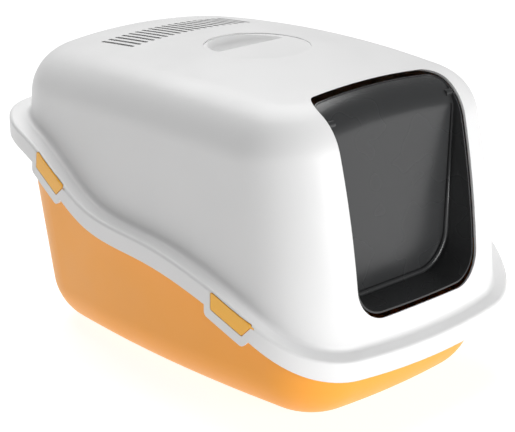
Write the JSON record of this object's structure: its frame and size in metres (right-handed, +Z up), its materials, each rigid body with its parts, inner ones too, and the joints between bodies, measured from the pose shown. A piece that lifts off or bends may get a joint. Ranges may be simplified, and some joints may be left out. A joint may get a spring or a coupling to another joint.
{
  "type": "hooded cat litter box",
  "caption": "Covered litter tray: wavy-edged tub, domed lift-off hood with a swing flap, side clips, roof grip and a vent filter.",
  "frame": {"origin": "centre of the footprint, on the plane the tray rests on", "axes": "+Z up, -Y out of the doorway, +X to the right of someone standing behind the box and looking at the doorway end"},
  "size_m": [0.39, 0.54, 0.3452],
  "materials": {
    "tray_orange": "satin moulded polypropylene",
    "hood_white": "satin moulded polypropylene",
    "flap_smoke": "smoked glossy sheet",
    "filter_carbon": "open-cell carbon foam"
  },
  "bodies": {
    "tray": {"tray": "tray_orange"},
    "hood": {"hood": "hood_white"},
    "door_flap": {"door_flap": "flap_smoke"},
    "filter_cover": {"filter_cover": "hood_white", "filter_pad": "filter_carbon"},
    "clip_front_left": {"clip_front_left": "tray_orange"},
    "clip_front_right": {"clip_front_right": "tray_orange"},
    "clip_rear_left": {"clip_rear_left": "tray_orange"},
    "clip_rear_right": {"clip_rear_right": "tray_orange"}
  },
  "joints": [
    {"name": "hood_lift", "type": "slide", "parent": "tray", "child": "hood", "axis": [0, 0, 1], "range_m": [0, 0.24]},
    {"name": "flap_swing", "type": "hinge", "parent": "hood", "child": "door_flap", "pos_m": [0, -0.201, 0.314], "axis": [1, 0, 0], "range_deg": [-75, 80]},
    {"name": "filter_cover_swing", "type": "hinge", "parent": "hood", "child": "filter_cover", "pos_m": [0, 0.167, 0.321], "axis": [1, 0, 0], "range_deg": [0, 85]},
    {"name": "clip_front_left_swing", "type": "hinge", "parent": "hood", "child": "clip_front_left", "pos_m": [-0.18521, -0.16469, 0.13676], "axis": [-0.0917, 0.9184, 0.3848], "range_deg": [0, 50]},
    {"name": "clip_front_right_swing", "type": "hinge", "parent": "hood", "child": "clip_front_right", "pos_m": [0.18521, -0.16469, 0.13676], "axis": [-0.0917, -0.9184, -0.3848], "range_deg": [0, 50]},
    {"name": "clip_rear_left_swing", "type": "hinge", "parent": "hood", "child": "clip_rear_left", "pos_m": [-0.18916, 0.12057, 0.2151], "axis": [0.07, 0.8725, 0.4836], "range_deg": [0, 50]},
    {"name": "clip_rear_right_swing", "type": "hinge", "parent": "hood", "child": "clip_rear_right", "pos_m": [0.18916, 0.12057, 0.2151], "axis": [0.07, -0.8725, -0.4836], "range_deg": [0, 50]}
  ]
}
